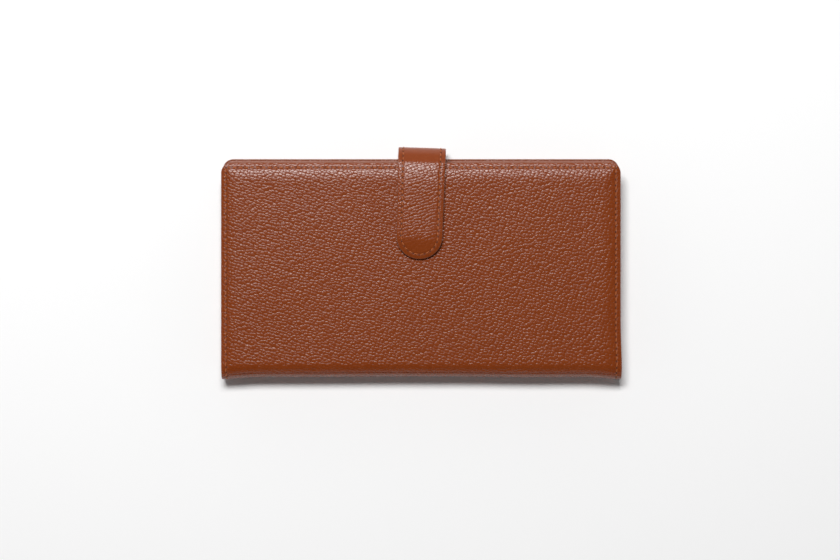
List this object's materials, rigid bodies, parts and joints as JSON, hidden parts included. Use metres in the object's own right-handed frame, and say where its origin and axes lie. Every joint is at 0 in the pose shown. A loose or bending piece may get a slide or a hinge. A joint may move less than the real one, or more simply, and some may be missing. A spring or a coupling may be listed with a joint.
{
  "type": "wallet",
  "caption": "Long bifold leather wallet with card pockets, zip coin pocket and a snap tab that folds over its top edge.",
  "frame": {"origin": "middle of the back face, which the wallet lies on, at half of its width and half of its height from the fold to the top edge", "axes": "+X along the long edges, to the right with the front facing the viewer; +Y from the fold up to the top edge with the tab; +Z out of the front"},
  "size_m": [0.192, 0.1115, 0.0171],
  "materials": {
    "tan_leather": "pebble grained, semi gloss",
    "inner_leather": "smooth, matt",
    "lining_cloth": "woven, matt",
    "thread": "waxed thread",
    "zip_tape": "woven, matt",
    "zip_metal": "polished",
    "snap_metal": "antique, satin",
    "clear_film": "clear plastic film, glossy"
  },
  "bodies": {
    "base": {"back_panel": "tan_leather", "back_seam_thread": "thread", "back_lining": "lining_cloth", "bill_divider": "lining_cloth", "card_pocket_1": "inner_leather", "card_pocket_2": "inner_leather", "card_pocket_3": "inner_leather", "card_pocket_4": "inner_leather", "card_seam_thread": "thread", "tab_root": "tan_leather"},
    "fold_1": {"spine_lining_1": "lining_cloth", "spine_leather_1": "tan_leather"},
    "fold_2": {"spine_lining_2": "lining_cloth", "spine_leather_2": "tan_leather"},
    "cover": {"coin_bag_back": "lining_cloth", "coin_bag_edge": "lining_cloth", "coin_bag_front": "lining_cloth", "cover_card_pocket_1": "inner_leather", "cover_card_pocket_2": "inner_leather", "cover_divider": "lining_cloth", "front_lining": "lining_cloth", "front_panel": "tan_leather", "front_seam_thread": "thread", "id_window_film": "clear_film", "id_window_frame": "inner_leather", "snap_rivet": "snap_metal", "snap_stud": "snap_metal", "zip_bottom_stop": "zip_metal", "zip_panel_lower": "inner_leather", "zip_panel_upper": "inner_leather", "zip_seam_thread": "thread", "zip_tape_lower": "zip_tape", "zip_tape_upper": "zip_tape", "zip_teeth_lower": "zip_metal", "zip_teeth_upper": "zip_metal", "zip_top_stops": "zip_metal"},
    "zip_slider": {"zip_slider": "zip_metal"},
    "zip_pull": {"zip_pull_bail": "zip_metal", "zip_pull_tab": "inner_leather"},
    "tab_wrap_1": {"tab_lining_1": "inner_leather", "tab_leather_1": "tan_leather"},
    "tab_wrap_2": {"tab_lining_2": "inner_leather", "tab_leather_2": "tan_leather"},
    "tab_tip": {"tab_leather_tip": "tan_leather", "tab_lining_tip": "inner_leather", "tab_seam_thread": "thread", "snap_socket": "snap_metal", "snap_spring": "snap_metal", "snap_cap": "snap_metal"}
  },
  "joints": [
    {"name": "cover_open", "type": "hinge", "parent": "base", "child": "fold_1", "pos_m": [0, -0.0483, 0.0016], "axis": [1, 0, 0], "range_deg": [0, 60]},
    {"name": "cover_open_2", "type": "hinge", "parent": "fold_1", "child": "fold_2", "pos_m": [0, -0.05131, 0.00683], "axis": [1, 0, 0], "range_deg": [0, 60]},
    {"name": "cover_open_3", "type": "hinge", "parent": "fold_2", "child": "cover", "pos_m": [0, -0.0483, 0.01205], "axis": [1, 0, 0], "range_deg": [0, 60]},
    {"name": "tab_open", "type": "hinge", "parent": "base", "child": "tab_wrap_1", "pos_m": [0.00051, 0.0531, 0.002], "axis": [-0.9995, 0.0314, 0], "range_deg": [0, 60]},
    {"name": "tab_open_2", "type": "hinge", "parent": "tab_wrap_1", "child": "tab_wrap_2", "pos_m": [0.00063, 0.05695, 0.00868], "axis": [-0.9995, 0.0314, 0], "range_deg": [0, 60]},
    {"name": "tab_open_3", "type": "hinge", "parent": "tab_wrap_2", "child": "tab_tip", "pos_m": [0.00051, 0.0531, 0.01535], "axis": [-0.9995, 0.0314, 0], "range_deg": [0, 60]},
    {"name": "zip_slide", "type": "slide", "parent": "cover", "child": "zip_slider", "axis": [1, 0, 0], "range_m": [0, 0.1568], "deforming": ["zip_teeth_upper", "zip_teeth_lower"]},
    {"name": "zip_pull_swing", "type": "hinge", "parent": "zip_slider", "child": "zip_pull", "pos_m": [-0.0774, 0.0305, 0.0071], "axis": [0, 1, 0], "range_deg": [0, 180], "deforming": ["zip_pull_tab"]}
  ],
  "couplings": [
    {"joint": "cover_open_2", "follows": "cover_open", "ratio": 1},
    {"joint": "cover_open_3", "follows": "cover_open", "ratio": 1},
    {"joint": "tab_open_2", "follows": "tab_open", "ratio": 1},
    {"joint": "tab_open_3", "follows": "tab_open", "ratio": 1}
  ]
}
